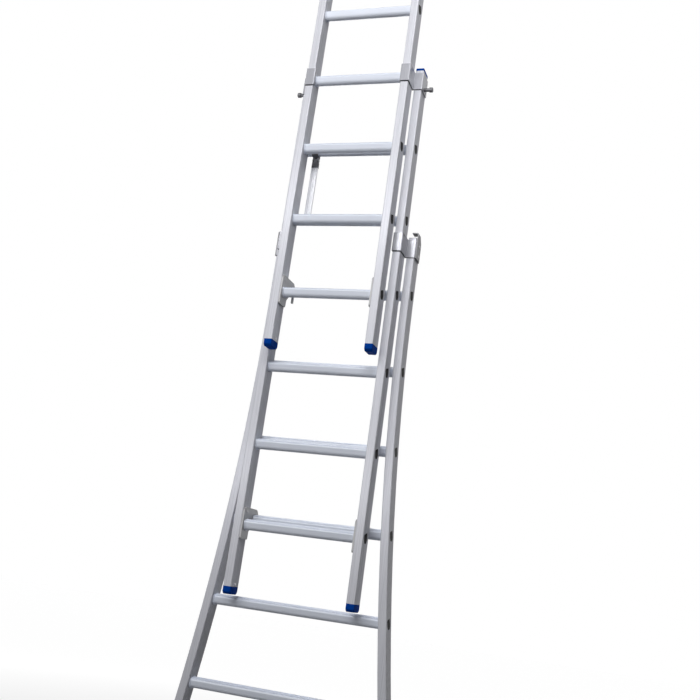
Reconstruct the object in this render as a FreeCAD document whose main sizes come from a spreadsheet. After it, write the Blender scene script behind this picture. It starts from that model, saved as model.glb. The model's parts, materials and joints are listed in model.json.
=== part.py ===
import FreeCAD, Part
import math
import operator
import os
from types import SimpleNamespace

import Sketcher
from FreeCAD import Placement, Rotation, Vector

# Three-section aluminium extension ladder.  X runs across the ladder, Y from the climber's side to
# the back, Z up the stiles.  The widest section stands on the floor at the back, the middle
# section slides between its stiles, one step in front of it, and the top section in front of that.

SIZES = {
    # stiles: rectangular tubes
    "stile_width": 26,
    "stile_depth": 55,
    "stile_wall": 2,
    "stile_corner": 3,
    "top_clear_width": 304,
    "side_gap": 4,
    "depth_gap": 4,
    # rungs: tubes with a flat tread and a round underside; the treads lie level when the ladder leans
    "rung_pitch": 250,
    "base_rungs": 7,
    "middle_rungs": 6,
    "top_rungs": 7,
    "rung_height": 30,
    "rung_depth": 28,
    "rung_corner": 5,
    "rung_wall": 1.8,
    "tread_tilt": 18,
    "bead_rise": 2.2,
    "bead_length": 4,
    # lengths of the sections beyond their lowest and highest rungs
    "base_foot_rise": 200,
    "middle_foot_rise": 209,
    "top_foot_rise": 184,
    "base_head": 190,
    "middle_head": 275,
    "top_head": 115,
    "hooked_rung": 3,
    # long arc that spreads the feet of the base
    "flare_radius": 8500,
    "flare_height": 1660,
    # caps on the ends of the stiles
    "foot_height": 23,
    "foot_chamfer": 7,
    "foot_round": 3,
    "cap_height": 10,
    "cap_chamfer": 2.5,
    "cap_round": 1.5,
    "foot_plug": 20,
    "cap_plug": 6,
    "plug_clearance": 0.1,
    # guides at the heads of the base and middle sections
    "guide_height": 60,
    "guide_wall": 2.5,
    "guide_clearance": 0.5,
    "guide_lip": 10,
    "guide_bend": 3,
    "guide_inner_bend": 0.6,
    "middle_guide_drop": 10,
    "base_guide_drop": 8,
    # pins of the middle section, and the plates of the base that take them in A-frame use
    "pin_radius": 6,
    "pin_neck": 18,
    "pin_head_radius": 8.5,
    "pin_head_length": 11,
    "pin_head_round": 3,
    "pin_collar_length": 3,
    "pin_drop": 57,
    "catch_wall": 3,
    "catch_front": 1,
    "catch_depth": 42,
    "catch_gap": 14,
    "catch_flange": 18,
    "catch_flange_depth": 26,
    "catch_slope": 22,
    "catch_bend": 2.5,
    # hooks at the feet of the middle and top sections
    "hook_wall": 5,
    "hook_front": 25.5,
    "hook_rise": 53,
    "hook_chamfer": 8,
    "hook_arm": 9.5,
    "hook_arm_drop": 30,
    "hook_shoulder": 16,
    "hook_mouth_rise": 18,
    "hook_mouth_drop": 39,
    "hook_mouth_flare": 16,
    "hook_tail_drop": 43,
    "hook_tail_width": 50,
    "hook_clearance": 0.6,
    "hook_round": 6,
    "hook_tip_round": 2.5,
    # spreader stays of the middle section
    "stay_rung": 5,
    "stay_inset": 44,
    "stay_width": 21,
    "stay_depth": 10,
    "stay_wall": 1.5,
    "stay_web": 2.5,
    "stay_hinge_back": 8,
    "stay_hinge_drop": 27,
    "stay_length": 198,
    "stay_tip": 4,
    "stay_tip_width": 11,
    "stay_plug": 14,
    "stay_plug_clearance": 0.1,
    "hanger_wall": 3,
    "hanger_depth": 13,
    "hinge_radius": 3,
    "hinge_clearance": 0.1,
    "hinge_head_radius": 4.5,
    "hinge_head_length": 1.5,
    "tongue_width": 7.5,
    "tongue_radius": 5.5,
    "tongue_gap": 0.5,
    "tongue_space": 1,
    "stay_head_drop": 28,
    # rivets
    "rivet_radius": 2.4,
    "rivet_head_radius": 4.5,
    "rivet_head_rise": 2,
    "rivet_edge": 13,
    "rivet_back": 7,
    "hook_rivet_back": 4,
    "hook_rivet_rise": 40,
    "foot_rivet_rise": 8,
}

doc = FreeCAD.newDocument("extension_ladder")
sheet = doc.addObject("Spreadsheet::Sheet", "Sizes")
for row, (alias, number) in enumerate(SIZES.items(), start=1):
    sheet.set(f"A{row}", alias)
    sheet.set(f"B{row}", str(number))
    sheet.setAlias(f"B{row}", alias)
doc.recompute()


# ---- sizes that are worked out from the sheet ----

class Size:
    """A size as a number, with the expression that works it out from the sheet."""

    def __init__(self, text, number):
        self.text = text
        self.number = number

    def __neg__(self):
        return 0 - self


def as_size(item):
    return item if isinstance(item, Size) else Size(str(item), float(item))


def add_operator(name, sign, work):
    def forward(left, right):
        right = as_size(right)
        return Size(f"({left.text} {sign} {right.text})", work(left.number, right.number))

    def backward(right, left):
        return forward(as_size(left), right)

    setattr(Size, f"__{name}__", forward)
    setattr(Size, f"__r{name}__", backward)


add_operator("add", "+", operator.add)
add_operator("sub", "-", operator.sub)
add_operator("mul", "*", operator.mul)
add_operator("truediv", "/", operator.truediv)


def sine(angle):
    return Size(f"sin({angle.text})", math.sin(math.radians(angle.number)))


def cosine(angle):
    return Size(f"cos({angle.text})", math.cos(math.radians(angle.number)))


def tangent(angle):
    return Size(f"tan({angle.text})", math.tan(math.radians(angle.number)))


def arc_sine(ratio):
    return Size(f"asin({ratio.text})", math.degrees(math.asin(ratio.number)))


def root(square):
    return Size(f"sqrt({square.text})", math.sqrt(square.number))


size = SimpleNamespace(**{name: Size(f"Sizes.{name}", float(number)) for name, number in SIZES.items()})
NOTHING = as_size(0)

TOP, MIDDLE, BASE = 0, 1, 2
side_step = size.stile_width + size.side_gap
depth_step = size.stile_depth + size.depth_gap
rung_step = depth_step * tangent(size.tread_tilt)
rung_counts = {TOP: size.top_rungs, MIDDLE: size.middle_rungs, BASE: size.base_rungs}
front_edge = (size.guide_wall + size.guide_clearance) / 2 - 1.5 * size.stile_depth - size.depth_gap
rung_radius = size.rung_depth / 2
rung_drop = size.rung_height / 2 - rung_radius
rung_reach_front = (
    (rung_radius - size.rung_corner) * cosine(size.tread_tilt)
    + (size.rung_height / 2 - size.rung_corner) * sine(size.tread_tilt)
    + size.rung_corner
)
rung_reach_back = rung_drop * sine(size.tread_tilt) + rung_radius
rung_reach_down = rung_drop * cosine(size.tread_tilt) + rung_radius


def inner_x(section):
    return size.top_clear_width / 2 + section * side_step


def outer_x(section):
    return inner_x(section) + size.stile_width


def centre_x(section):
    return inner_x(section) + size.stile_width / 2


def front_y(section):
    return front_edge + section * depth_step


def centre_y(section):
    return front_y(section) + size.stile_depth / 2


def rung_z(section, number):
    """Height of a rung's centre; number 0 is the lowest of its section."""
    lift = size.hooked_rung * size.rung_pitch - rung_step
    return size.base_foot_rise + (BASE - section) * lift + number * size.rung_pitch


def foot_z(section):
    rises = {TOP: size.top_foot_rise, MIDDLE: size.middle_foot_rise, BASE: size.base_foot_rise}
    return rung_z(section, 0) - rises[section]


def head_z(section):
    heads = {TOP: size.top_head, MIDDLE: size.middle_head, BASE: size.base_head}
    return rung_z(section, rung_counts[section] - 1) + heads[section]


def flare_x(offset, height):
    """Half width of the base at a height, on a line that runs beside its stile's centre line."""
    if height.number >= size.flare_height.number:
        return centre_x(BASE) + offset
    drop = size.flare_height - height
    reach = size.flare_radius - offset
    return centre_x(BASE) + size.flare_radius - root(reach * reach - drop * drop)


# ---- drawing helpers ----

def bind(item, name, expression):
    item.setExpression(name, as_size(expression).text)


def new_body(label):
    body = doc.addObject("PartDesign::Body", label)
    body.Label = label
    return body


def origin_feature(body, role):
    return next(item for item in body.Origin.OriginFeatures if item.Role == role)


def new_sketch(body, role, at, turn=None):
    """Sketch on an origin plane, moved within the plane and then along its normal."""
    sketch = body.newObject("Sketcher::SketchObject", f"{body.Name}_sketch")
    sketch.AttachmentSupport = [(origin_feature(body, role), "")]
    sketch.MapMode = "FlatFace"
    for axis, place in zip("xyz", at):
        bind(sketch, f"AttachmentOffset.Base.{axis}", place)
    if turn is not None:
        sketch.AttachmentOffset = Placement(Vector(), Rotation(Vector(0, 0, 1), turn.number))
        bind(sketch, "AttachmentOffset.Rotation.Angle", turn)
    return sketch


def constrain(sketch, *details):
    """Adds a constraint; where its last detail is a Size, the constraint follows the sheet."""
    *rest, last = details
    if not isinstance(last, Size):
        sketch.addConstraint(Sketcher.Constraint(*details))
        return
    index = sketch.addConstraint(Sketcher.Constraint(*rest, last.number))
    bind(sketch, f"Constraints[{index}]", last)


def pin_point(sketch, geometry, corner, x, y):
    for kind, axis, place in (("DistanceX", -2, as_size(x)), ("DistanceY", -1, as_size(y))):
        if place.text == "0":
            constrain(sketch, "PointOnObject", geometry, corner, axis)
        else:
            constrain(sketch, kind, -1, 1, geometry, corner, place)


def polygon(sketch, points):
    points = [(as_size(x), as_size(y)) for x, y in points]
    spots = [Vector(x.number, y.number, 0) for x, y in points]
    first = sketch.GeometryCount
    for start, end in zip(spots, spots[1:] + spots[:1]):
        sketch.addGeometry(Part.LineSegment(start, end))
    for number, (x, y) in enumerate(points):
        before = first + (number - 1) % len(points)
        constrain(sketch, "Coincident", before, 2, first + number, 1)
        pin_point(sketch, first + number, 1, x, y)


def circle(sketch, x, y, radius):
    x, y = as_size(x), as_size(y)
    index = sketch.addGeometry(Part.Circle(Vector(x.number, y.number, 0), Vector(0, 0, 1), radius.number))
    pin_point(sketch, index, 3, x, y)
    constrain(sketch, "Radius", index, radius)


def rounded_rectangle(sketch, width, height, radius, x=NOTHING):
    """Rectangle with round corners, centred on the sketch's horizontal axis."""
    w, h, r = width.number / 2, height.number / 2, radius.number
    first = sketch.GeometryCount
    for number, (side, level) in enumerate(((1, 1), (-1, 1), (-1, -1), (1, -1))):
        centre = Vector(x.number + side * (w - r), level * (h - r), 0)
        start = number * math.pi / 2
        ring = Part.Circle(centre, Vector(0, 0, 1), r)
        sketch.addGeometry(Part.ArcOfCircle(ring, start, start + math.pi / 2))
    arcs = [sketch.Geometry[first + number] for number in range(4)]
    for arc, following in zip(arcs, arcs[1:] + arcs[:1]):
        sketch.addGeometry(Part.LineSegment(arc.EndPoint, following.StartPoint))
    for number in range(4):
        arc, line, following = first + number, first + 4 + number, first + (number + 1) % 4
        constrain(sketch, "Tangent", arc, 2, line, 1)
        constrain(sketch, "Tangent", line, 2, following, 1)
        if number:
            constrain(sketch, "Equal", first, arc)
    constrain(sketch, "Horizontal", first + 4)
    constrain(sketch, "Vertical", first + 5)
    constrain(sketch, "Radius", first, radius)
    pin_point(sketch, first, 3, x + width / 2 - radius, height / 2 - radius)
    constrain(sketch, "DistanceX", first + 1, 3, first, 3, width - 2 * radius)
    constrain(sketch, "DistanceY", first + 2, 3, first + 1, 3, height - 2 * radius)


def add_feature(body, kind, profile=None):
    feature = body.newObject(f"PartDesign::{kind}", f"{body.Name}_{kind.lower()}")
    if profile is not None:
        feature.Profile = profile
    return feature


def pad(body, profile, length, both_ways=False, down=False):
    feature = add_feature(body, "Pad", profile)
    bind(feature, "Length", length)
    feature.Reversed = down
    if both_ways:
        feature.SideType = "Symmetric"
    doc.recompute()
    return feature


def pocket(body, profile, length, both_ways=True, forward=False):
    """Pocket that has to take material away."""
    before = body.Shape.Volume
    feature = add_feature(body, "Pocket", profile)
    bind(feature, "Length", length)
    feature.Reversed = forward
    if both_ways:
        feature.SideType = "Symmetric"
    doc.recompute()
    if body.Shape.Volume > before - 1e-3:
        raise RuntimeError(f"{body.Label}: a pocket cuts nothing")
    return feature


def revolve(body, profile, axis, angle=None, backward=False):
    feature = add_feature(body, "Revolution", profile)
    feature.ReferenceAxis = (profile, [axis])
    feature.Reversed = backward
    if angle is None:
        feature.Angle = 360
    else:
        bind(feature, "Angle", angle)
    doc.recompute()
    return feature


def dress(body, kind, amount, test):
    """Fillet or chamfer on every edge that passes the test."""
    base = body.Tip
    names = [f"Edge{number}" for number, edge in enumerate(base.Shape.Edges, start=1) if test(edge)]
    if not names:
        raise RuntimeError(f"{body.Label}: no edge to dress")
    feature = add_feature(body, kind)
    feature.Base = (base, names)
    bind(feature, "Radius" if kind == "Fillet" else "Size", amount)
    doc.recompute()


def runs_along(edge, axis):
    if edge.Curve.TypeId != "Part::GeomLine":
        return False
    run = edge.Vertexes[1].Point - edge.Vertexes[0].Point
    return abs(run.normalize().dot(axis)) > 1 - 1e-6


def on_corner(axis, corners):
    """Test for edges along an axis that stand on one of the corners, given by the other two axes."""
    keep_axes = [number for number in range(3) if abs(axis[number]) < 0.5]
    spots = [[as_size(place).number for place in corner] for corner in corners]

    def test(edge):
        if not runs_along(edge, axis):
            return False
        point = edge.Vertexes[0].Point
        here = [point[number] for number in keep_axes]
        return any(math.dist(here, spot) < 1e-3 for spot in spots)

    return test


ALONG_X = Vector(1, 0, 0)
ALONG_Y = Vector(0, 1, 0)
ALONG_Z = Vector(0, 0, 1)
nodes = []


def keep(item, label):
    item.Label = label
    nodes.append(item)
    return item


def mirror(source, label):
    twin = doc.addObject("Part::Mirroring", label)
    twin.Source = source
    twin.Normal = ALONG_X
    twin.Label = label
    return twin


def pair(make, name, *details):
    """Right-hand piece and its left-hand twin, each a node."""
    right = keep(make(f"{name}_right", *details), f"{name}_right")
    keep(mirror(right, f"{name}_left"), f"{name}_left")


def matched(make, name):
    """Right-hand piece and its left-hand twin in one node."""
    right = make(f"{name}_right")
    group(name, [right, mirror(right, f"{name}_left")])


def fuse(label, pieces):
    joined = doc.addObject("Part::MultiFuse", label)
    joined.Shapes = pieces
    joined.Label = label
    doc.recompute()
    return joined


def group(label, pieces):
    """Several separate solids in one node."""
    together = doc.addObject("Part::Compound", label)
    together.Links = pieces
    doc.recompute()
    return keep(together, label)


# ---- stiles ----

def tube_outline(sketch, x=NOTHING):
    wall = 2 * size.stile_wall
    rounded_rectangle(sketch, size.stile_width, size.stile_depth, size.stile_corner, x)
    rounded_rectangle(sketch, size.stile_width - wall, size.stile_depth - wall,
                      size.stile_corner - size.stile_wall, x)


def rung_outline(sketch, growth=NOTHING):
    """Flat top with round corners, straight sides and a half-round bottom."""
    corner, bottom = size.rung_corner + growth, rung_radius + growth
    x, y = rung_radius - size.rung_corner, size.rung_height / 2 - size.rung_corner
    first = sketch.GeometryCount
    arcs = ((x.number, y.number, corner, 0, 1), (-x.number, y.number, corner, 1, 2),
            (0, -rung_drop.number, bottom, 2, 4))
    for across, up, radius, start, end in arcs:
        ring = Part.Circle(Vector(across, up, 0), Vector(0, 0, 1), radius.number)
        sketch.addGeometry(Part.ArcOfCircle(ring, start * math.pi / 2, end * math.pi / 2))
    drawn = [sketch.Geometry[first + number] for number in range(3)]
    for arc, following in zip(drawn, drawn[1:] + drawn[:1]):
        sketch.addGeometry(Part.LineSegment(arc.EndPoint, following.StartPoint))
    for number in range(3):
        line = first + 3 + number
        constrain(sketch, "Tangent", first + number, 2, line, 1)
        constrain(sketch, "Tangent", line, 2, first + (number + 1) % 3, 1)
    constrain(sketch, "Equal", first, first + 1)
    constrain(sketch, "Horizontal", first + 3)
    constrain(sketch, "Vertical", first + 4)
    constrain(sketch, "Vertical", first + 5)
    constrain(sketch, "Radius", first, corner)
    pin_point(sketch, first, 3, x, y)
    pin_point(sketch, first + 2, 3, 0, -rung_drop)


def punch_rung_holes(body, section):
    outline = new_sketch(body, "YZ_Plane", (centre_y(section), rung_z(section, 0), 0), size.tread_tilt)
    rung_outline(outline)
    hole = pocket(body, outline, 4 * outer_x(BASE))
    row = add_feature(body, "LinearPattern")
    row.Originals = [hole]
    row.Direction = (origin_feature(body, "Z_Axis"), [""])
    bind(row, "Length", (rung_counts[section] - 1) * size.rung_pitch)
    bind(row, "Occurrences", rung_counts[section])
    body.Tip = row
    doc.recompute()


def punch_round(body, radius, spots, face_x, depth, forward):
    """Round holes along X from a face of the piece, at places given by Y and Z."""
    outline = new_sketch(body, "YZ_Plane", (0, 0, face_x))
    for y, z in spots:
        circle(outline, y, z, radius)
    pocket(body, outline, depth, both_ways=False, forward=forward)


def straight_stile(label, section):
    body = new_body(label)
    bottom = foot_z(section) + size.foot_height
    profile = new_sketch(body, "XY_Plane", (centre_x(section), centre_y(section), bottom))
    tube_outline(profile)
    pad(body, profile, head_z(section) - bottom)
    punch_rung_holes(body, section)
    punch_round(body, size.rivet_radius, hook_rivets(section) + foot_rivets(section),
                inner_x(section), size.stile_wall, forward=True)
    if section == MIDDLE:
        punch_round(body, size.rivet_radius, guide_rivets(section), outer_x(section),
                    size.stile_wall, forward=False)
        punch_round(body, size.pin_radius, [(centre_y(MIDDLE), pin_z)], outer_x(section),
                    size.stile_wall, forward=False)
    return body


base_end = size.foot_height
base_lean = arc_sine((size.flare_height - base_end) / size.flare_radius)


def flared_stile(label):
    """Base stile: a straight head, then one long arc that spreads the foot."""
    body = new_body(label)
    profile = new_sketch(body, "XY_Plane", (centre_x(BASE), centre_y(BASE), size.flare_height))
    tube_outline(profile)
    pad(body, profile, head_z(BASE) - size.flare_height)
    turning = new_sketch(body, "XY_Plane",
                         (centre_x(BASE) + size.flare_radius, centre_y(BASE), size.flare_height))
    tube_outline(turning, -size.flare_radius)
    revolve(body, turning, "V_Axis", base_lean, backward=True)
    punch_rung_holes(body, BASE)
    punch_round(body, size.rivet_radius, guide_rivets(BASE), outer_x(BASE), size.stile_wall, forward=False)
    return body


# ---- rungs ----

def trim_at_flare(body, offset, sides):
    """Cuts away what stands beyond a line beside the curved centre line of the base stiles."""
    outline = new_sketch(body, "XZ_Plane", (0, 0, 0))
    for side in sides:
        circle(outline, side * (centre_x(BASE) + size.flare_radius), size.flare_height,
               size.flare_radius - offset)
    pocket(body, outline, 8 * size.stile_depth)


def rung_tube(label, place, half_length, flared):
    body = new_body(label)
    profile = new_sketch(body, "YZ_Plane", (*place, 0), size.tread_tilt)
    rung_outline(profile)
    rung_outline(profile, -size.rung_wall)
    pad(body, profile, 2 * half_length, both_ways=True)
    if flared:
        trim_at_flare(body, size.stile_width / 2, (1, -1))
    return body


def rung_bead(label, place, seat, flared):
    """Swaged collar that the rung bears with against the inner side of a stile."""
    body = new_body(label)
    profile = new_sketch(body, "YZ_Plane", (*place, seat - size.bead_length), size.tread_tilt)
    rung_outline(profile, size.bead_rise)
    rung_outline(profile, -size.rung_wall)
    spare = size.stile_width / 4 if flared else 0
    pad(body, profile, size.bead_length + spare)
    if flared:
        trim_at_flare(body, -(size.stile_width / 2), (1,))
    axis = Vector(0, place[0].number, place[1].number)
    start = (seat - size.bead_length).number
    flat = (size.rung_depth / 2 + size.bead_rise).number

    def on_outer_rim(edge):
        middle = edge.valueAt((edge.FirstParameter + edge.LastParameter) / 2)
        away = (middle - axis).projectToPlane(Vector(), ALONG_X).Length
        return abs(middle.x - start) < 1e-3 and away > flat - 1e-3

    dress(body, "Fillet", size.bead_rise / 2, on_outer_rim)
    return body


def rung(label, section, number):
    """Tube through both stiles, with its open ends flush with their outer sides."""
    height = rung_z(section, number)
    place = (centre_y(section), height)
    low = height - rung_reach_down
    flared = section == BASE and low.number < size.flare_height.number
    half_length = flare_x(size.stile_width / 2, low) + size.stile_wall if flared else outer_x(section)
    seat = flare_x(-(size.stile_width / 2), height) if section == BASE else inner_x(section)
    if number == 0 and section != BASE:
        seat = seat - size.hook_wall
    tube = rung_tube(f"{label}_tube", place, half_length, flared)
    bead = rung_bead(f"{label}_bead", place, seat, flared)
    return fuse(label, [tube, bead, mirror(bead, f"{label}_bead_left")])


# ---- caps on the ends of the stiles ----

def plug_outline(sketch):
    shrink = 2 * (size.stile_wall + size.plug_clearance)
    rounded_rectangle(sketch, size.stile_width - shrink, size.stile_depth - shrink,
                      size.stile_corner - size.stile_wall)


def cap_block(body, place, height, chamfer, corner, up):
    """Block over a stile's end; its far corners, front and back, are cut off."""
    half = size.stile_depth / 2
    sign = 1 if up else -1
    outline = new_sketch(body, "YZ_Plane", place)
    polygon(outline, [
        (half, 0),
        (half, sign * (height - chamfer)),
        (half - chamfer, sign * height),
        (chamfer - half, sign * height),
        (-half, sign * (height - chamfer)),
        (-half, 0),
    ])
    pad(body, outline, size.stile_width, both_ways=True)
    seat = as_size(place[1]).number
    dress(body, "Fillet", corner,
          lambda edge: any(abs(point.Point.z - seat) > 1e-3 for point in edge.Vertexes))


def straight_cap(label, section, up):
    body = new_body(label)
    seat = head_z(section) if up else foot_z(section) + size.foot_height
    place = (centre_y(section), seat, centre_x(section))
    if up:
        cap_block(body, place, size.cap_height, size.cap_chamfer, size.cap_round, up)
    else:
        cap_block(body, place, size.foot_height, size.foot_chamfer, size.foot_round, up)
    stem = new_sketch(body, "XY_Plane", (centre_x(section), centre_y(section), seat))
    plug_outline(stem)
    pad(body, stem, size.cap_plug if up else size.foot_plug, down=up)
    return body


def base_foot(label):
    """Cap on the leaning end of a base stile, cut level with the floor."""
    block = new_body(f"{label}_block")
    cap_block(block, (0, 0, 0), size.foot_height + size.stile_width, size.foot_chamfer,
              size.foot_round, up=False)
    stem = new_sketch(block, "XY_Plane", (0, 0, 0))
    plug_outline(stem)
    pad(block, stem, size.foot_plug)
    block.Placement = Placement(Vector(), Rotation(Vector(0, -1, 0), base_lean.number))
    bind(block, "Placement.Rotation.Angle", base_lean)
    for axis, place in zip("xyz", (flare_x(NOTHING, base_end), centre_y(BASE), base_end)):
        bind(block, f"Placement.Base.{axis}", place)
    floor = doc.addObject("Part::Box", f"{label}_floor")
    for side, length in (("Length", 4 * size.stile_width), ("Width", 2 * size.stile_depth),
                         ("Height", 4 * size.foot_height)):
        bind(floor, side, length)
    corner = (flare_x(NOTHING, base_end) - 2 * size.stile_width, front_y(BASE) - size.stile_depth / 2,
              -4 * size.foot_height)
    for axis, place in zip("xyz", corner):
        bind(floor, f"Placement.Base.{axis}", place)
    foot = doc.addObject("Part::Cut", label)
    foot.Base = block
    foot.Tool = floor
    doc.recompute()
    return foot


# ---- guides ----

def guide_z(section):
    """Lower edge of the guide at the head of a section."""
    drop = size.middle_guide_drop if section == MIDDLE else size.base_guide_drop
    return head_z(section) - drop - size.guide_height


def guide_rivets(section):
    """Behind the rung's end on the middle section, and through the catch as well on the base."""
    place = front_y(section) + size.stile_depth - size.rivet_back if section == MIDDLE else centre_y(BASE)
    low = guide_z(section) + size.rivet_edge
    return [(place, low), (place, low + size.guide_height - 2 * size.rivet_edge)]


def guide(label, section):
    """Bent strip round the front of the sliding stile and along the outer side of its own."""
    sliding = section - 1
    wall, gap = size.guide_wall, size.guide_clearance
    lip = inner_x(sliding) - gap
    web = outer_x(sliding) + gap
    outer = outer_x(section)
    near = front_y(sliding) - gap
    far = front_y(section)
    back = far + size.stile_depth
    body = new_body(label)
    outline = new_sketch(body, "XY_Plane", (0, 0, guide_z(section)))
    polygon(outline, [
        (lip - wall, near - wall),
        (web + wall, near - wall),
        (web + wall, far - wall),
        (outer + wall, far - wall),
        (outer + wall, back),
        (outer, back),
        (outer, far),
        (web, far),
        (web, near),
        (lip, near),
        (lip, near - wall + size.guide_lip),
        (lip - wall, near - wall + size.guide_lip),
    ])
    pad(body, outline, size.guide_height)
    outer_bends = [(lip - wall, near - wall), (web + wall, near - wall),
                   (outer + wall, far - wall), (web, far)]
    inner_bends = [(lip, near), (web, near), (web + wall, far - wall), (outer, far)]
    dress(body, "Fillet", size.guide_bend, on_corner(ALONG_Z, outer_bends))
    dress(body, "Fillet", size.guide_inner_bend, on_corner(ALONG_Z, inner_bends))
    punch_round(body, size.rivet_radius, guide_rivets(section), outer + wall, wall, forward=False)
    if section == MIDDLE:
        punch_round(body, size.pin_radius, [(centre_y(MIDDLE), pin_z)], outer + wall, wall, forward=False)
    return body


# ---- pins and the plates that take them ----

pin_z = head_z(MIDDLE) - size.pin_drop


def hinge_pin(label):
    """Headed pin through the guide and the outer wall of the stile, held by a collar inside."""
    wall_inside = outer_x(MIDDLE) - size.stile_wall
    head = outer_x(MIDDLE) + size.guide_wall + size.pin_neck
    body = new_body(label)
    outline = new_sketch(body, "XY_Plane", (0, centre_y(MIDDLE), pin_z))
    polygon(outline, [
        (wall_inside - size.pin_collar_length, 0),
        (wall_inside - size.pin_collar_length, size.pin_head_radius),
        (wall_inside, size.pin_head_radius),
        (wall_inside, size.pin_radius),
        (head, size.pin_radius),
        (head, size.pin_head_radius),
        (head + size.pin_head_length, size.pin_head_radius),
        (head + size.pin_head_length, 0),
    ])
    revolve(body, outline, "H_Axis")
    end = (head + size.pin_head_length).number
    dress(body, "Fillet", size.pin_head_round,
          lambda edge: edge.Curve.TypeId == "Part::GeomCircle" and abs(edge.Curve.Center.x - end) < 1e-3
          and len(edge.Vertexes) == 1)
    return body


def catch(label):
    """Plate on the side of the base stile, bent inwards over the stile's open end."""
    wall = size.catch_wall
    side = outer_x(BASE) + size.guide_wall
    bottom = guide_z(BASE)
    under = head_z(BASE) + size.catch_gap
    front = front_y(BASE) + size.catch_front
    body = new_body(label)
    outline = new_sketch(body, "XZ_Plane", (0, 0, -front))
    polygon(outline, [
        (side, bottom),
        (side + wall, bottom),
        (side + wall, under + wall),
        (side - size.catch_flange, under + wall),
        (side - size.catch_flange, under),
        (side, under),
    ])
    pad(body, outline, size.catch_depth, down=True)
    dress(body, "Fillet", wall + size.catch_bend / 2, on_corner(ALONG_Y, [(side + wall, under + wall)]))
    dress(body, "Fillet", size.catch_bend / 2, on_corner(ALONG_Y, [(side, under)]))
    slope = new_sketch(body, "YZ_Plane", (front, head_z(BASE), 0))
    polygon(slope, [
        (size.catch_flange_depth, 2 * size.catch_gap),
        (size.catch_flange_depth, size.catch_gap),
        (size.catch_depth, size.catch_gap - size.catch_slope),
        (2 * size.catch_depth, size.catch_gap - size.catch_slope),
        (2 * size.catch_depth, 2 * size.catch_gap),
    ])
    pocket(body, slope, 4 * side)
    punch_round(body, size.rivet_radius, guide_rivets(BASE), side + wall, wall, forward=False)
    return body


# ---- hooks ----

def hook_rivets(section):
    if section == BASE:
        return []
    return [(centre_y(section) - size.hook_rivet_back, rung_z(section, 0) + size.hook_rivet_rise)]


def foot_rivets(section):
    return [(centre_y(section), foot_z(section) + size.foot_height + size.foot_rivet_rise)]


def rung_hook(label, section):
    """Plate inside a stile's foot, held by its own rung, that hangs over the rung behind."""
    slot_front = depth_step - rung_reach_front - size.hook_clearance
    slot_back = depth_step + rung_reach_back + size.hook_clearance
    arm_back = slot_back + size.hook_arm
    slot_top = size.hook_mouth_rise + rung_step
    front = -size.hook_front
    body = new_body(label)
    outline = new_sketch(body, "YZ_Plane",
                         (centre_y(section), rung_z(section, 0), inner_x(section) - size.hook_wall))
    polygon(outline, [
        (front, size.hook_rise - size.hook_chamfer),
        (front + size.hook_chamfer, size.hook_rise),
        (arm_back - size.hook_shoulder, size.hook_rise),
        (arm_back, size.hook_rise - size.hook_shoulder),
        (arm_back, slot_top - size.hook_arm_drop - size.hook_mouth_rise),
        (slot_back, slot_top - size.hook_arm_drop - size.hook_mouth_rise),
        (slot_back, slot_top),
        (slot_front, slot_top),
        (slot_front, slot_top - size.hook_mouth_drop),
        (slot_front - size.hook_mouth_flare, slot_top - size.hook_mouth_drop - size.hook_shoulder),
        (front + size.hook_tail_width, -size.hook_tail_drop),
        (front, -size.hook_tail_drop),
    ])
    pad(body, outline, size.hook_wall)
    at_y, at_z = centre_y(section), rung_z(section, 0)
    round_spots = [
        (at_y + arm_back - size.hook_shoulder, at_z + size.hook_rise),
        (at_y + arm_back, at_z + size.hook_rise - size.hook_shoulder),
        (at_y + slot_back, at_z + slot_top),
        (at_y + slot_front, at_z + slot_top),
        (at_y + front + size.hook_tail_width, at_z - size.hook_tail_drop),
        (at_y + front, at_z - size.hook_tail_drop),
    ]
    tip = at_z + slot_top - size.hook_arm_drop - size.hook_mouth_rise
    dress(body, "Fillet", size.hook_round, on_corner(ALONG_X, round_spots))
    dress(body, "Fillet", size.hook_tip_round,
          on_corner(ALONG_X, [(at_y + arm_back, tip), (at_y + slot_back, tip)]))
    own = new_sketch(body, "YZ_Plane", (at_y, at_z, 0), size.tread_tilt)
    rung_outline(own)
    pocket(body, own, 4 * outer_x(BASE))
    punch_round(body, size.rivet_radius, hook_rivets(section), inner_x(section) - size.hook_wall,
                size.hook_wall, forward=True)
    return body


# ---- spreader stays ----

stay_x = inner_x(MIDDLE) - size.stay_inset
hinge_y = centre_y(MIDDLE) + size.stay_hinge_back
hinge_z = rung_z(MIDDLE, size.stay_rung) - size.stay_hinge_drop


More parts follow.
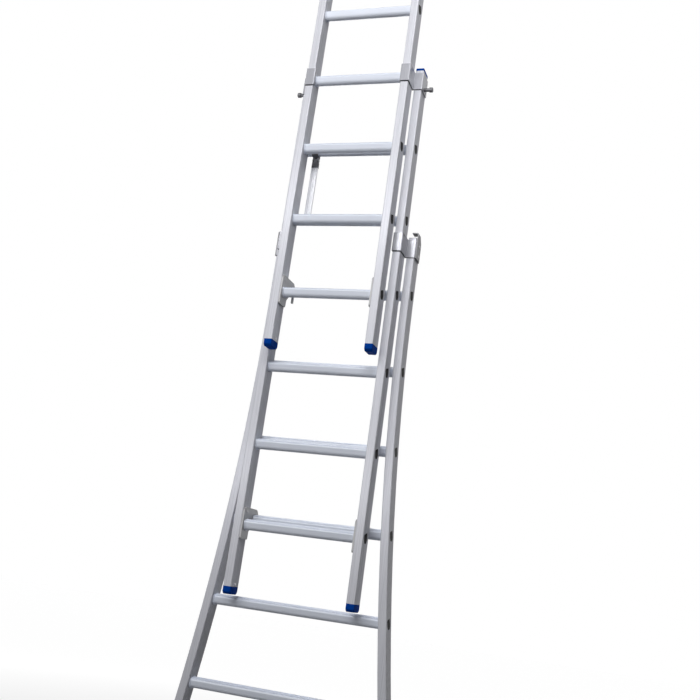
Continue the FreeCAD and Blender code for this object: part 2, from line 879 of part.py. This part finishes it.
def stay_hanger(label):
    """Clamp round a rung, with two cheeks below that take the tongue of the stay."""
    body = new_body(label)
    rung_place = (centre_y(MIDDLE), rung_z(MIDDLE, size.stay_rung))
    collar = new_sketch(body, "YZ_Plane", (*rung_place, stay_x), size.tread_tilt)
    rung_outline(collar, size.hanger_wall)
    pad(body, collar, size.stay_width, both_ways=True)
    block = new_sketch(body, "YZ_Plane", (hinge_y, hinge_z, stay_x))
    half = size.hanger_depth / 2
    polygon(block, [(half, -half), (half, size.stay_hinge_drop),
                    (-half, size.stay_hinge_drop), (-half, -half)])
    pad(body, block, size.stay_width, both_ways=True)
    low = hinge_z - half
    ends = [(hinge_y + half, low), (hinge_y - half, low)]
    dress(body, "Fillet", half * 0.98, on_corner(ALONG_X, ends))
    slot = new_sketch(body, "XZ_Plane", (stay_x, hinge_z, 0))
    gap = size.tongue_width / 2 + size.tongue_gap
    top = size.tongue_radius + size.tongue_space
    polygon(slot, [(gap, -size.hanger_depth), (gap, top), (-gap, top), (-gap, -size.hanger_depth)])
    pocket(body, slot, 4 * size.stile_depth)
    bore = new_sketch(body, "YZ_Plane", (*rung_place, 0), size.tread_tilt)
    rung_outline(bore)
    pocket(body, bore, 4 * stay_x)
    hole = new_sketch(body, "YZ_Plane", (hinge_y, hinge_z, 0))
    circle(hole, 0, 0, size.hinge_radius)
    pocket(body, hole, 4 * stay_x)
    return body


def stay_head(label):
    """Moulded end of the stay: a tongue for the hinge, a shoulder, and a plug for the channel."""
    body = new_body(label)
    half = size.hanger_depth / 2
    shoulder = half + size.tongue_space
    side = new_sketch(body, "YZ_Plane", (hinge_y, hinge_z, stay_x))
    polygon(side, [(half, -size.stay_head_drop), (half, -shoulder),
                   (-half, -shoulder), (-half, -size.stay_head_drop)])
    pad(body, side, size.stay_width, both_ways=True)
    tongue = new_sketch(body, "YZ_Plane", (hinge_y, hinge_z, stay_x))
    eye = size.tongue_radius
    polygon(tongue, [(eye, -shoulder), (eye, eye), (-eye, eye), (-eye, -shoulder)])
    pad(body, tongue, size.tongue_width, both_ways=True)
    top = hinge_z + eye
    dress(body, "Fillet", eye * 0.98, on_corner(ALONG_X, [(hinge_y + eye, top), (hinge_y - eye, top)]))
    hole = new_sketch(body, "YZ_Plane", (hinge_y, hinge_z, 0))
    circle(hole, 0, 0, size.hinge_radius + size.hinge_clearance)
    pocket(body, hole, 4 * stay_x)
    stem = new_sketch(body, "XY_Plane", (stay_x, hinge_y, hinge_z - size.stay_head_drop))
    stay_plug(stem)
    pad(body, stem, size.stay_plug, down=True)
    return body


def stay_plug(sketch):
    """Outline that fills the channel between its flanges, behind its web."""
    shrink = size.stay_wall + size.stay_plug_clearance
    across = size.stay_width / 2 - shrink
    front = size.stay_web + size.stay_plug_clearance - size.stay_depth / 2
    polygon(sketch, [(across, size.stay_depth / 2), (across, front),
                     (-across, front), (-across, size.stay_depth / 2)])


def stay_channel(label):
    """Open channel whose web is at the front."""
    body = new_body(label)
    outline = new_sketch(body, "XY_Plane", (stay_x, hinge_y, hinge_z - size.stay_length))
    across, half = size.stay_width / 2, size.stay_depth / 2
    polygon(outline, [
        (across, half),
        (across, -half),
        (-across, -half),
        (-across, half),
        (size.stay_wall - across, half),
        (size.stay_wall - across, size.stay_web - half),
        (across - size.stay_wall, size.stay_web - half),
        (across - size.stay_wall, half),
    ])
    pad(body, outline, size.stay_length - size.stay_head_drop)
    return body


def stay_tip(label):
    body = new_body(label)
    half = size.stay_depth / 2
    bottom = hinge_z - size.stay_length
    across = size.stay_tip_width / 2
    front = new_sketch(body, "XZ_Plane", (stay_x, bottom, -hinge_y))
    polygon(front, [(across, 0), (across, -size.stay_tip), (-across, -size.stay_tip), (-across, 0)])
    pad(body, front, size.stay_depth, both_ways=True)
    low = bottom - size.stay_tip
    ends = [(stay_x + across, low), (stay_x - across, low)]
    dress(body, "Fillet", size.stay_tip * 0.9, on_corner(ALONG_Y, ends))
    stem = new_sketch(body, "XY_Plane", (stay_x, hinge_y, bottom))
    stay_plug(stem)
    pad(body, stem, size.stay_plug)
    return body


def stay_pin(label):
    """Rivet through the cheeks of the hanger and the tongue of the stay."""
    reach = size.stay_width / 2
    end = reach + size.hinge_head_length
    body = new_body(label)
    outline = new_sketch(body, "XY_Plane", (stay_x, hinge_y, hinge_z))
    polygon(outline, [(-end, 0), (-end, size.hinge_head_radius), (-reach, size.hinge_head_radius),
                      (-reach, size.hinge_radius), (reach, size.hinge_radius),
                      (reach, size.hinge_head_radius), (end, size.hinge_head_radius), (end, 0)])
    revolve(body, outline, "H_Axis")
    return body


# ---- rivets ----

def rivet(label, spot, face_x, depth, outwards=True):
    """Domed rivet along X whose shank is as long as what it holds is thick."""
    y, z = spot
    sign = 1 if outwards else -1
    rise, radius = size.rivet_head_rise, size.rivet_head_radius
    body = new_body(label)
    outline = new_sketch(body, "XY_Plane", (face_x, y, z))
    polygon(outline, [
        (-sign * depth, 0),
        (-sign * depth, size.rivet_radius),
        (0, size.rivet_radius),
        (0, radius),
        (sign * rise / 2, radius),
        (sign * rise, radius / 2),
        (sign * rise, 0),
    ])
    revolve(body, outline, "H_Axis")
    return body


def rivet_group(label, rows):
    """Rivets of one section: each row gives the places, the face under the heads and the grip."""
    pieces = []
    for spots, face_x, depth, outwards in rows:
        for spot in spots:
            right = rivet(f"{label}_{len(pieces)}", spot, face_x, depth, outwards)
            pieces.append(right)
            pieces.append(mirror(right, f"{label}_{len(pieces)}"))
    return group(label, pieces)


def inner_rivets(section):
    hook_face = inner_x(section) - size.hook_wall
    return [
        (hook_rivets(section), hook_face, size.hook_wall + size.stile_wall, False),
        (foot_rivets(section), inner_x(section), size.stile_wall, False),
    ]


# ---- the ladder ----

for section, name in ((BASE, "base"), (MIDDLE, "middle"), (TOP, "top")):
    if section == BASE:
        pair(flared_stile, f"{name}_stile")
        pair(base_foot, f"{name}_foot")
    else:
        pair(straight_stile, f"{name}_stile", section)
        pair(straight_cap, f"{name}_foot", section, False)
        pair(straight_cap, f"{name}_cap", section, True)
        pair(rung_hook, f"{name}_hook", section)
    for number in range(SIZES[f"{name}_rungs"]):
        label = f"{name}_rung_{number + 1}"
        keep(rung(label, section, number), label)

pair(guide, "base_guide", BASE)
pair(guide, "middle_guide", MIDDLE)
matched(hinge_pin, "middle_pins")
pair(catch, "base_catch")
matched(stay_hanger, "stay_hangers")
matched(stay_pin, "stay_pins")
pair(stay_head, "stay_head")
pair(stay_channel, "stay_channel")
pair(stay_tip, "stay_tip")

plates = size.guide_wall + size.stile_wall
catch_face = outer_x(BASE) + size.guide_wall + size.catch_wall
rivet_group("base_rivets", [(guide_rivets(BASE), catch_face, plates + size.catch_wall, True)])
rivet_group("middle_rivets", [
    (guide_rivets(MIDDLE), outer_x(MIDDLE) + size.guide_wall, plates, True),
    *inner_rivets(MIDDLE),
])
rivet_group("top_rivets", inner_rivets(TOP))

doc.recompute()
for item in doc.Objects:
    if "Invalid" in item.State or "Error" in item.State:
        raise RuntimeError(f"{item.Label} failed: {item.State}")
for node in nodes:
    if node.Shape.isNull() or not node.Shape.isValid():
        raise RuntimeError(f"{node.Label} has no valid shape")

os.makedirs("parts", exist_ok=True)
for node in nodes:
    node.Shape.exportStep(f"parts/{node.Label}.step")
print(f"{len(nodes)} nodes")
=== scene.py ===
import json
import math
import bmesh
import bpy
from mathutils import Matrix, Vector


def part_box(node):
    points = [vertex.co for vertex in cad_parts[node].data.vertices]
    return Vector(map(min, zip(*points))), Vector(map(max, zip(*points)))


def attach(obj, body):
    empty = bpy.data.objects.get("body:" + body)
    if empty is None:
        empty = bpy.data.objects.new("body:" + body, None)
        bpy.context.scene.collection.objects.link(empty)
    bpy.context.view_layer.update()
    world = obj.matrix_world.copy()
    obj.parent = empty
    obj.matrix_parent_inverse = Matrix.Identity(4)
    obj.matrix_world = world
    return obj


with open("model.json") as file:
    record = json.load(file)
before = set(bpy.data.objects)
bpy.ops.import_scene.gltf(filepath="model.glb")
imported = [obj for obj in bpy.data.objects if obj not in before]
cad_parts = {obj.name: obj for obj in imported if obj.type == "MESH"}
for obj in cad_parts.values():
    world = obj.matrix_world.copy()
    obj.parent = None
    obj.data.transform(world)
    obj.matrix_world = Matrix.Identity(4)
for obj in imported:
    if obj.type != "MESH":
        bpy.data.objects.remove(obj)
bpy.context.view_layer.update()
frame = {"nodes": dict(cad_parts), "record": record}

nodes = frame["nodes"]
mm = 0.001
sections = ("base", "middle", "top")
print("ladder frame loaded:", len(nodes), "nodes")


# each setting is a property of the node or, with _ for a space, one of its inputs
def addNode(tree, kind, **settings):
    node = tree.nodes.new(kind)
    for key, value in settings.items():
        if hasattr(node, key):
            setattr(node, key, value)
        else:
            node.inputs[key.replace("_", " ")].default_value = value
    return node


def newFinish(name, shaderValues):
    finish = bpy.data.materials.new(name)
    finish.use_nodes = True
    tree = finish.node_tree
    shader = tree.nodes["Principled BSDF"]
    for key, value in shaderValues.items():
        shader.inputs[key].default_value = value
    return finish, tree, shader


grainRoughness = 0.6


# noise on the piece's own coordinates, drawn out along its grain
def grain(tree, stretch, scale, detail):
    place = addNode(tree, "ShaderNodeTexCoord")
    mapping = addNode(tree, "ShaderNodeMapping")
    mapping.inputs["Scale"].default_value = stretch
    noise = addNode(tree, "ShaderNodeTexNoise", Scale=scale, Detail=detail, Roughness=grainRoughness)
    tree.links.new(place.outputs["Object"], mapping.inputs["Vector"])
    tree.links.new(mapping.outputs["Vector"], noise.inputs["Vector"])
    return noise.outputs["Fac"]


# most noise lies between these two values
noiseLow, noiseHigh = 0.3, 0.7


def spread(tree, value, low, high, fromLow=noiseLow, fromHigh=noiseHigh):
    remap = addNode(tree, "ShaderNodeMapRange")
    remap.inputs["From Min"].default_value = fromLow
    remap.inputs["From Max"].default_value = fromHigh
    remap.inputs["To Min"].default_value = low
    remap.inputs["To Max"].default_value = high
    tree.links.new(value, remap.inputs["Value"])
    return remap.outputs["Result"]


def blendColours(tree, factor, first, second):
    mix = addNode(tree, "ShaderNodeMix", data_type="RGBA")
    colourSockets = [socket for socket in mix.inputs if socket.type == "RGBA"]
    for socket, colour in zip(colourSockets, (first, second)):
        if isinstance(colour, tuple):
            socket.default_value = (*colour, 1.0)
        else:
            tree.links.new(colour, socket)
    tree.links.new(factor, mix.inputs["Factor"])
    return next(socket for socket in mix.outputs if socket.type == "RGBA")


def bumpUp(tree, shader, height, strength, distance):
    bump = addNode(tree, "ShaderNodeBump", Strength=strength, Distance=distance)
    tree.links.new(height, bump.inputs["Height"])
    tree.links.new(bump.outputs["Normal"], shader.inputs["Normal"])


# painted shade: the stiles' colour darkens towards the floor, standing in for the lamps' falloff, and is
# plain above chest height
lowShade = {"colour": (0.2, 0.2, 0.215), "full": 0.2, "gone": 1.15}


# how much of the painted shade shows at each height
def shadeNearFloor(tree, most):
    place = addNode(tree, "ShaderNodeTexCoord")
    parts = addNode(tree, "ShaderNodeSeparateXYZ")
    tree.links.new(place.outputs["Object"], parts.inputs["Vector"])
    return spread(tree, parts.outputs["Z"], most, 0.0, lowShade["full"], lowShade["gone"])


aluminiumGrain = {"scale": 420.0, "detail": 3.0, "anisotropic": 0.3, "relief": 0.4 * mm,
                  "cloudStretch": (1.0, 1.0, 0.35), "cloudScale": 9.0, "cloudDetail": 4.0}


def extrudedAluminium(name, values):
    finish, tree, shader = newFinish(name, {
        "Metallic": values["metal"], "Specular IOR Level": values["gloss"],
        "Anisotropic": aluminiumGrain["anisotropic"]})
    fine = grain(tree, values["stretch"], aluminiumGrain["scale"], aluminiumGrain["detail"])
    cloud = grain(tree, aluminiumGrain["cloudStretch"], aluminiumGrain["cloudScale"],
                  aluminiumGrain["cloudDetail"])
    tone = blendColours(tree, spread(tree, fine, 0.0, 1.0), values["dark"], values["light"])
    tone = blendColours(tree, spread(tree, cloud, 0.0, values["clouding"]), tone, values["stain"])
    # painted shade: the colour darkens towards the floor in place of lamp falloff
    tone = blendColours(tree, shadeNearFloor(tree, values["floorShade"]), tone, lowShade["colour"])
    tree.links.new(tone, shader.inputs["Base Color"])
    tree.links.new(spread(tree, fine, *values["roughness"]), shader.inputs["Roughness"])
    bumpUp(tree, shader, fine, values["bump"], aluminiumGrain["relief"])
    return finish


even = (1.0, 1.0, 1.0)
steelBlotch = {"metal": 0.9, "scale": 140.0, "detail": 5.0, "darkest": 0.7, "rougher": 0.2,
               "bump": 0.25, "relief": 0.5 * mm}


def dullSteel(name, colour, shine):
    finish, tree, shader = newFinish(name, {"Metallic": steelBlotch["metal"]})
    blotch = grain(tree, even, steelBlotch["scale"], steelBlotch["detail"])
    dark = tuple(part * steelBlotch["darkest"] for part in colour)
    tone = blendColours(tree, spread(tree, blotch, 0.0, 1.0), dark, colour)
    tree.links.new(tone, shader.inputs["Base Color"])
    tree.links.new(spread(tree, blotch, shine, shine + steelBlotch["rougher"]), shader.inputs["Roughness"])
    bumpUp(tree, shader, blotch, steelBlotch["bump"], steelBlotch["relief"])
    return finish


plasticSkin = {"ior": 1.46, "pebbleScale": 900.0, "pebbleDetail": 2.0, "bump": 0.3, "relief": 0.3 * mm,
               "scuffStretch": (1.0, 1.0, 0.4), "scuffScale": 45.0, "scuffDetail": 5.0, "rougher": 0.25,
               "worn": 0.85, "wornMost": 0.6, "wornFrom": 0.5, "wornTo": 0.8}


def mouldedPlastic(name, colour, shine, gloss):
    finish, tree, shader = newFinish(name, {
        "Metallic": 0.0, "IOR": plasticSkin["ior"], "Specular IOR Level": gloss})
    pebble = grain(tree, even, plasticSkin["pebbleScale"], plasticSkin["pebbleDetail"])
    scuff = grain(tree, plasticSkin["scuffStretch"], plasticSkin["scuffScale"], plasticSkin["scuffDetail"])
    worn = tuple(plasticSkin["worn"] * part for part in colour)
    wear = spread(tree, scuff, 0.0, plasticSkin["wornMost"], plasticSkin["wornFrom"], plasticSkin["wornTo"])
    tree.links.new(blendColours(tree, wear, colour, worn), shader.inputs["Base Color"])
    tree.links.new(spread(tree, scuff, shine, shine + plasticSkin["rougher"]), shader.inputs["Roughness"])
    bumpUp(tree, shader, pebble, plasticSkin["bump"], plasticSkin["relief"])
    return finish


stileLook = {"metal": 0.08, "gloss": 0.02, "stretch": (1.0, 1.0, 0.012),
             "dark": (0.635, 0.642, 0.695), "light": (0.715, 0.722, 0.775),
             "stain": (0.595, 0.602, 0.648), "clouding": 0.35, "floorShade": 0.32,
             "roughness": (0.24, 0.32), "bump": 0.12}
rungLook = {"metal": 0.06, "gloss": 0.03, "stretch": (0.012, 1.0, 1.0),
            "dark": (0.76, 0.80, 0.90), "light": (0.84, 0.88, 0.97), "stain": (0.71, 0.75, 0.83),
            "clouding": 0.3, "floorShade": 0.0, "roughness": (0.34, 0.42), "bump": 0.12}
guideLook = {"metal": 0.22, "gloss": 0.16, "stretch": (1.0, 1.0, 0.05),
             "dark": (0.375, 0.38, 0.415), "light": (0.445, 0.45, 0.49),
             "stain": (0.345, 0.35, 0.38), "clouding": 0.3, "floorShade": 0.0,
             "roughness": (0.17, 0.24), "bump": 0.05}
hookLook = {"metal": 0.3, "gloss": 0.3, "stretch": (1.0, 0.1, 1.0),
            "dark": (0.38, 0.38, 0.39), "light": (0.45, 0.45, 0.46), "stain": (0.33, 0.33, 0.34),
            "clouding": 0.5, "floorShade": 0.0, "roughness": (0.35, 0.55), "bump": 0.1}
# painted highlight: a lighter, glossier copy of the aluminium finish that makes up for the shade the rungs
# cast on the stay
stayLitLook = {"metal": 0.5, "gloss": 0.12, "stretch": (1.0, 1.0, 0.012),
            "dark": (0.87, 0.88, 0.91), "light": (0.93, 0.94, 0.97), "stain": (0.78, 0.79, 0.83),
            "clouding": 0.4, "floorShade": 0.0, "roughness": (0.26, 0.3), "bump": 0.03}

finishes = {
    "stile_aluminium": extrudedAluminium("stileAluminium", stileLook),
    "rung_aluminium": extrudedAluminium("rungAluminium", rungLook),
    "guide_aluminium": extrudedAluminium("guideAluminium", guideLook),
    "hook_aluminium": extrudedAluminium("hookAluminium", hookLook),
    "stay_aluminium": extrudedAluminium("stayLitAluminium", stayLitLook),
    "catch_steel": dullSteel("catchSteel", (0.16, 0.16, 0.17), 0.35),
    "pin_steel": dullSteel("pinSteel", (0.13, 0.13, 0.14), 0.3),
    "rivet_steel": dullSteel("rivetSteel", (0.5, 0.5, 0.52), 0.3),
    "blue_plastic": mouldedPlastic("bluePlastic", (0.0, 0.046, 0.31), 0.45, 0.02),
    "grey_plastic": mouldedPlastic("greyPlastic", (0.19, 0.192, 0.205), 0.4, 0.2),
}

for part in frame["record"]["subparts"]:
    for slot in nodes[part["node"]].material_slots:
        slot.material = finishes[part["material_slot"]]
print("finishes on", len(nodes), "nodes")


def newPiece(name, shape, body, finish):
    mesh = bpy.data.meshes.new(name)
    bmesh.ops.recalc_face_normals(shape, faces=shape.faces[:])
    shape.to_mesh(mesh)
    shape.free()
    mesh.materials.append(finish)
    piece = bpy.data.objects.new(name, mesh)
    bpy.context.scene.collection.objects.link(piece)
    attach(piece, body)


sameHeight = 1e-7  # metres between corners that count as level
nearlyHalf = 0.499  # the outer corners are further than this part of the bar's depth from its middle


# a bar along X whose upper and lower long edges are rounded, then turned and moved to its place
def addRoundedBar(shape, size, upper, lower, segments, turn, place):
    verts = bmesh.ops.create_cube(shape, size=1.0)["verts"]
    bmesh.ops.scale(shape, vec=size, verts=verts)
    for side, radius in ((1, upper), (-1, lower)):
        edges = [edge for vert in verts for edge in vert.link_edges
                 if edge.verts[0] == vert
                 and abs(edge.verts[0].co.x - edge.verts[1].co.x) > size[0] / 2
                 and all(abs(end.co.z - side * size[2] / 2) < sameHeight for end in edge.verts)
                 and all(abs(end.co.y) > size[1] * nearlyHalf for end in edge.verts)]
        rounded = bmesh.ops.bevel(shape, geom=edges, offset=radius, offset_type="OFFSET",
                                  affect="EDGES", segments=segments, profile=0.5, material=-1)
        kept = [vert for vert in verts if vert.is_valid]
        verts = list(dict.fromkeys(kept + rounded["verts"]))
    bmesh.ops.transform(shape, matrix=Matrix.Translation(place) @ turn, verts=verts)


def middleOf(box):
    return (box[0] + box[1]) / 2


def rungsOf(section):
    return sorted(name for name in nodes if name.startswith(section + "_rung_"))


tread = {"tilt": math.radians(18.0), "top": 15.0 * mm, "ridges": 7, "pitch": 2.4 * mm,
         "width": 1.0 * mm, "rise": 0.45 * mm, "sunk": 0.55 * mm, "corner": 0.35 * mm,
         "cornerSteps": 2, "endGap": 33.0 * mm}


# gripping ridges along the top of each rung, between its collars
def makeTreads(section):
    shape = bmesh.new()
    turn = Matrix.Rotation(tread["tilt"], 4, "X")
    tall = tread["rise"] + tread["sunk"]
    height = tread["top"] + (tread["rise"] - tread["sunk"]) / 2
    for name in rungsOf(section):
        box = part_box(name)
        size = (box[1].x - box[0].x - 2 * tread["endGap"], tread["width"], tall)
        for number in range(tread["ridges"]):
            offset = (number - (tread["ridges"] - 1) / 2) * tread["pitch"]
            place = middleOf(box) + turn @ Vector((0.0, offset, height))
            addRoundedBar(shape, size, tread["corner"], tread["corner"], tread["cornerSteps"], turn, place)
    newPiece(section + "Treads", shape, section + "_section", finishes["rung_aluminium"])


rungEnd = {"deep": 28.0 * mm, "tall": 30.0 * mm, "upper": 5.0 * mm, "lower": 13.9 * mm,
           "wall": 1.9 * mm, "proud": 0.25 * mm, "plug": 6.0 * mm, "cornerSteps": 8}
# the base stiles run straight above "starts" and curve outwards below it
flare = {"radius": 8.5, "starts": 1.66, "stileHalf": 13.0 * mm, "stileCentre": 0.225}


# where a rung's end lies on the stile's outer side, and how far the stile leans there
def rungEndPlace(section, box):
    middle = middleOf(box)
    if section != "base" or middle.z > flare["starts"]:
        return Vector((box[1].x, middle.y, middle.z)), 0.0
    drop = flare["starts"] - middle.z
    reach = flare["radius"] - flare["stileHalf"]
    x = flare["stileCentre"] + flare["radius"] - math.sqrt(reach ** 2 - drop ** 2)
    return Vector((x, middle.y, middle.z)), math.asin(drop / reach)


# painted shade: near-black colour for the shadow inside the rung tubes
tubeShadeFinish = mouldedPlastic("tubeShadePlastic", (0.014, 0.013, 0.013), 0.5, 0.1)


# near-black end plugs, painted shade standing in for the dark inside of the open tube ends; their thin rims
# cover the cut ends of the tubes
def makeRungEnds(section):
    shape = bmesh.new()
    tilt = Matrix.Rotation(tread["tilt"], 4, "X")
    steps = rungEnd["cornerSteps"]
    inset = 2 * rungEnd["wall"]
    plugSize = (rungEnd["plug"], rungEnd["deep"] - inset, rungEnd["tall"] - inset)
    rimSize = (2 * rungEnd["proud"], rungEnd["deep"], rungEnd["tall"])
    for name in rungsOf(section):
        place, lean = rungEndPlace(section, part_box(name))
        for side in (1, -1):
            there = Vector((side * place.x, place.y, place.z))
            turn = Matrix.Rotation(-side * lean, 4, "Y") @ tilt
            inwards = turn @ Vector((side * rungEnd["plug"] / 2, 0.0, 0.0))
            addRoundedBar(shape, plugSize, rungEnd["upper"] - rungEnd["wall"],
                          rungEnd["lower"] - rungEnd["wall"], steps, turn, there - inwards)
            addRoundedBar(shape, rimSize, rungEnd["upper"], rungEnd["lower"], steps, turn, there)
    newPiece(section + "RungEnds", shape, section + "_section", tubeShadeFinish)


for section in sections:
    makeTreads(section)
    makeRungEnds(section)
print("treads and rung ends made")


guideShade = {"front": 0.4 * mm, "side": 0.16 * mm, "gap": 0.05 * mm, "sideGap": 0.3 * mm,
         "shown": 3.2 * mm, "hidden": 8.0 * mm, "lip": 0.8 * mm, "lipShown": 2.0 * mm,
         "guideWall": 2.5 * mm, "corner": 0.06 * mm, "cornerSteps": 1}
# painted shade: near-black colour for the strips that stand in for the shadow under each guide
guideShadeFinish = mouldedPlastic("guideShadePlastic", (0.03, 0.03, 0.032), 0.5, 0.1)


# near-black strips between a guide and the stile that slides in it and under the guide's lip, painted shade
# standing in for the shadow gap; they show as a dark line below the guide
def makeGuideShade(section, sliding):
    shape = bmesh.new()
    straight = Matrix.Identity(4)
    quarter = Matrix.Rotation(math.pi / 2, 4, "Z")
    low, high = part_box(sliding + "_stile_right")
    guideLow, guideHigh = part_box(section + "_guide_right")
    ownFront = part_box(section + "_stile_right")[0].y
    tall = guideShade["shown"] + guideShade["hidden"]
    height = guideLow.z - guideShade["shown"] + tall / 2
    frontPlace = ((low.x + high.x) / 2, low.y - guideShade["gap"] - guideShade["front"] / 2, height)
    lipInner = high.x + guideShade["sideGap"]
    lipOuter = guideHigh.x - guideShade["guideWall"]
    sidePlace = (lipInner + guideShade["side"] / 2, (low.y + ownFront) / 2, height)
    lipPlace = ((lipInner + lipOuter) / 2, ownFront - guideShade["gap"] - guideShade["lip"] / 2,
                guideLow.z - guideShade["lipShown"] / 2)
    bars = (((high.x - low.x, guideShade["front"], tall), straight, frontPlace),
            ((ownFront - low.y, guideShade["side"], tall), quarter, sidePlace),
            ((lipOuter - lipInner, guideShade["lip"], guideShade["lipShown"]), straight, lipPlace))
    for side in (1, -1):
        for size, turn, place in bars:
            there = Vector((side * place[0], place[1], place[2]))
            addRoundedBar(shape, size, guideShade["corner"], guideShade["corner"], guideShade["cornerSteps"], turn, there)
    newPiece(section + "GuideShade", shape, section + "_section", guideShadeFinish)


# the strips made here are painted shade under the guides
makeGuideShade("middle", "top")
makeGuideShade("base", "middle")
print("guide liners made")


studio = {"floorSize": 30.0, "floorColour": (0.15, 0.15, 0.152), "floorRoughness": 0.9, "floorGloss": 0.1,
          "nearGlow": 0.7, "farGlow": 0.95, "glowStarts": 1.8, "glowEnds": 4.2, "fillLevel": 0.01}
# places and sizes in metres, powers in watts
lamps = {
    "key": {"place": (0.5, -2.9, 3.96), "aim": (0.0, 0.0, 1.9), "size": (1.8, 1.8), "power": 73.0},
    "front": {"place": (-0.6, -3.42, 2.83), "aim": (0.0, 0.0, 1.9), "size": (1.8, 1.8), "power": 20.0},
    "upperStrip": {"place": (-1.0, -2.68, 3.05), "aim": (0.0, 0.0, 1.94), "size": (1.4, 0.2), "power": 13.8},
    "lowerStrip": {"place": (-1.0, -2.7, 1.37), "aim": (0.0, 0.0, 1.08), "size": (1.4, 0.2), "power": 10.2},
    "right": {"place": (2.0, -0.2, 3.6), "aim": (0.0, 0.0, 2.2), "size": (1.0, 1.0), "power": 13.9},
    "left": {"place": (-3.2, 0.6, 3.2), "aim": (0.0, 0.0, 1.7), "size": (1.8, 1.8), "power": 18.0},
    "back": {"place": (-0.8, 3.2, 3.2), "aim": (0.0, 0.0, 1.7), "size": (1.8, 1.8), "power": 45.0},
}


seenRays = ("Is Camera Ray", "Is Glossy Ray", "Is Transmission Ray")
white = (1.0, 1.0, 1.0, 1.0)


# 1 for the rays that see the backdrop as white, 0 for the rays that light the ladder
def seenAsWhite(tree):
    path = addNode(tree, "ShaderNodeLightPath")
    total = path.outputs[seenRays[0]]
    for kind in seenRays[1:]:
        larger = addNode(tree, "ShaderNodeMath", operation="MAXIMUM")
        tree.links.new(total, larger.inputs[0])
        tree.links.new(path.outputs[kind], larger.inputs[1])
        total = larger.outputs[0]
    return total


def makeWorld():
    world = bpy.data.worlds.new("studioWorld")
    world.use_nodes = True
    tree = world.node_tree
    background = tree.nodes["Background"]
    background.inputs["Color"].default_value = white
    level = spread(tree, seenAsWhite(tree), studio["fillLevel"], 1.0, 0.0, 1.0)
    tree.links.new(level, background.inputs["Strength"])
    bpy.context.scene.world = world


def makeFloor():
    mesh = bpy.data.meshes.new("studioFloor")
    shape = bmesh.new()
    bmesh.ops.create_grid(shape, x_segments=1, y_segments=1, size=studio["floorSize"] / 2)
    shape.to_mesh(mesh)
    shape.free()
    floor = bpy.data.objects.new("studioFloor", mesh)
    bpy.context.scene.collection.objects.link(floor)
    finish, tree, shader = newFinish("floorPaper", {
        "Base Color": (*studio["floorColour"], 1.0), "Emission Color": white,
        "Roughness": studio["floorRoughness"], "Specular IOR Level": studio["floorGloss"]})
    # pale round the ladder's feet, white towards the horizon
    place = addNode(tree, "ShaderNodeTexCoord")
    reach = addNode(tree, "ShaderNodeVectorMath", operation="LENGTH")
    glow = addNode(tree, "ShaderNodeMath", operation="MULTIPLY")
    tree.links.new(place.outputs["Object"], reach.inputs["Vector"])
    paleness = spread(tree, reach.outputs["Value"], studio["nearGlow"], studio["farGlow"],
                      studio["glowStarts"], studio["glowEnds"])
    tree.links.new(paleness, glow.inputs[0])
    tree.links.new(seenAsWhite(tree), glow.inputs[1])
    tree.links.new(glow.outputs["Value"], shader.inputs["Emission Strength"])
    mesh.materials.append(finish)


def makeLamp(name, values):
    lamp = bpy.data.lights.new(name, "AREA")
    lamp.shape = "RECTANGLE"
    lamp.size, lamp.size_y = values["size"]
    lamp.energy = values["power"]
    holder = bpy.data.objects.new(name, lamp)
    holder.location = values["place"]
    beam = Vector(values["aim"]) - Vector(values["place"])
    holder.rotation_euler = beam.to_track_quat("-Z", "Y").to_euler()
    bpy.context.scene.collection.objects.link(holder)


# low down, in front and to the right of the ladder; its angles are in radians
view = {"place": (1.0328, -2.6759, 0.7868), "yaw": 0.34243, "pitch": 0.24585, "roll": -0.13909,
        "lens": 48.417, "film": 36.0}


def makeCamera():
    camera = bpy.data.cameras.new("studioCamera")
    camera.lens = view["lens"]
    camera.sensor_width = view["film"]
    holder = bpy.data.objects.new("studioCamera", camera)
    turn = (Matrix.Rotation(view["yaw"], 4, "Z") @ Matrix.Rotation(view["pitch"], 4, "X")
            @ Matrix.Rotation(view["roll"], 4, "Y") @ Matrix.Rotation(math.pi / 2, 4, "X"))
    holder.matrix_world = Matrix.Translation(view["place"]) @ turn
    bpy.context.scene.collection.objects.link(holder)
    bpy.context.scene.camera = holder


makeWorld()
makeFloor()
for name, values in lamps.items():
    makeLamp(name + "Lamp", values)
makeCamera()
bpy.context.scene.view_settings.view_transform = "Standard"
print("studio set")
